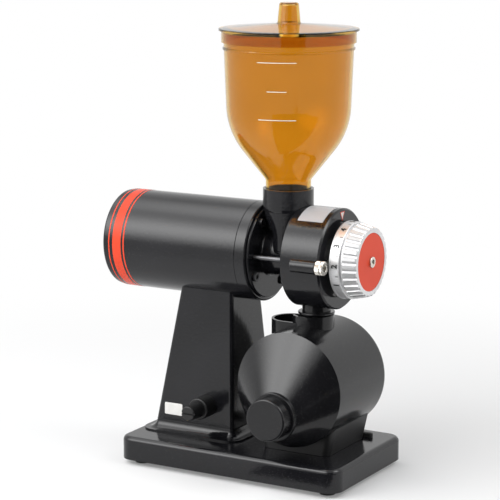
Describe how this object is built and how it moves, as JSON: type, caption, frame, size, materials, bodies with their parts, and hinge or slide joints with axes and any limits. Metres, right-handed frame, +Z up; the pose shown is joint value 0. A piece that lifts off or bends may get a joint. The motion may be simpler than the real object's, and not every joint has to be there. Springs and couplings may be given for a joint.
{
  "type": "burr coffee grinder",
  "caption": "Bench burr coffee grinder: horizontal motor on a leaning pillar, amber hopper over a feed throat, front dial that sets the burr gap, and a drum-shaped receiving cup on the base.",
  "frame": {"origin": "middle of the whole standing object, on the table", "axes": "+X along the motor towards the dial, +Y away from the cup spout, +Z up"},
  "size_m": [0.2302, 0.1396, 0.3805],
  "materials": {
    "black_enamel": "glossy black enamel on castings",
    "black_plastic": "glossy moulded black",
    "amber_plastic": "clear amber-brown moulding",
    "red_trim": "printed red",
    "satin_aluminium": "turned satin",
    "bright_steel": "bright plated",
    "ground_steel": "ground",
    "laminated_iron": "stacked sheet",
    "copper_wire": "lacquered wire",
    "black_rubber": "matt",
    "clear_glass": "clear"
  },
  "bodies": {
    "frame": {"base": "black_enamel", "bottom_cover": "ground_steel", "rubber_feet": "black_rubber", "foot_screws": "bright_steel", "pillar": "black_enamel", "pillar_bolts": "bright_steel", "saddle_screws": "bright_steel", "cord_gland": "black_plastic", "gland_nut": "black_plastic", "fuse_body": "black_plastic", "fuse_nut": "black_plastic", "switch_frame": "black_plastic", "run_capacitor": "satin_aluminium", "terminal_block": "black_plastic", "motor_tube": "black_enamel", "trim_bands": "red_trim", "rear_cover": "black_enamel", "front_bracket": "black_enamel", "through_bolts": "bright_steel", "stator_core": "laminated_iron", "stator_windings": "copper_wire", "rear_bearing": "ground_steel", "front_bearing": "ground_steel", "feed_housing": "black_enamel", "shaft_seal": "black_rubber", "flange_screws": "bright_steel", "tie_studs": "bright_steel", "tie_nuts": "bright_steel", "burr_chamber": "black_enamel", "front_cover": "black_enamel", "thumb_screws": "bright_steel", "fixed_burr": "ground_steel", "fixed_burr_screws": "bright_steel", "guide_pins": "bright_steel", "outlet_chute": "black_plastic", "cup_stop": "black_rubber"},
    "spindle": {"motor_shaft": "ground_steel", "rotor": "laminated_iron", "cooling_fan": "black_plastic", "auger": "ground_steel"},
    "burr_set": {"rotating_burr": "ground_steel", "rotating_burr_screws": "bright_steel", "burr_holder": "ground_steel"},
    "dial": {"dial_grip": "satin_aluminium", "number_ring": "satin_aluminium", "dial_disc": "red_trim", "dial_screw": "bright_steel", "dial_retainer": "bright_steel"},
    "plunger": {"thrust_plunger": "ground_steel"},
    "hopper": {"hopper": "amber_plastic"},
    "lid": {"hopper_lid": "amber_plastic"},
    "cup": {"cup_body": "black_plastic", "cup_cone": "black_plastic", "cup_foot": "black_plastic"},
    "cup_cap": {"cup_cap": "black_plastic"},
    "rocker": {"switch_rocker": "black_plastic"},
    "fuse_cap": {"fuse_cap": "black_plastic", "fuse_cartridge": "clear_glass"}
  },
  "joints": [
    {"name": "shaft_spin", "type": "hinge", "parent": "frame", "child": "spindle", "pos_m": [0.0134, 0.00903, 0.1793], "axis": [1, 0, 0], "continuous": true},
    {"name": "burr_shift", "type": "slide", "parent": "spindle", "child": "burr_set", "axis": [1, 0, 0], "range_m": [-0.0007, 0.0006]},
    {"name": "dial_turn", "type": "hinge", "parent": "frame", "child": "dial", "pos_m": [0.0134, 0.00903, 0.1793], "axis": [1, 0, 0], "range_deg": [-120, 90]},
    {"name": "plunger_shift", "type": "slide", "parent": "frame", "child": "plunger", "axis": [1, 0, 0], "range_m": [-0.00067, 0.0005]},
    {"name": "hopper_lift", "type": "slide", "parent": "frame", "child": "hopper", "axis": [0, 0, 1], "range_m": [0, 0.05]},
    {"name": "lid_lift", "type": "slide", "parent": "hopper", "child": "lid", "axis": [0, 0, 1], "range_m": [0, 0.06]},
    {"name": "cup_slide", "type": "slide", "parent": "frame", "child": "cup", "axis": [0, -1, 0], "range_m": [0, 0.16]},
    {"name": "cup_cap_pull", "type": "slide", "parent": "cup", "child": "cup_cap", "axis": [0, -1, 0], "range_m": [0, 0.03]},
    {"name": "switch_rock", "type": "hinge", "parent": "frame", "child": "rocker", "pos_m": [-0.0316, 0.03817, 0.09531], "axis": [1, 0, 0], "range_deg": [0, 16]},
    {"name": "fuse_cap_turn", "type": "hinge", "parent": "frame", "child": "fuse_cap", "pos_m": [-0.0233, -0.03097, 0.05], "axis": [0, -1, 0], "range_deg": [-60, 0]}
  ],
  "couplings": [
    {"joint": "dial_turn", "follows": "plunger_shift", "rad_per_m": 3141.6},
    {"joint": "burr_shift", "follows": "plunger_shift", "ratio": 1}
  ]
}
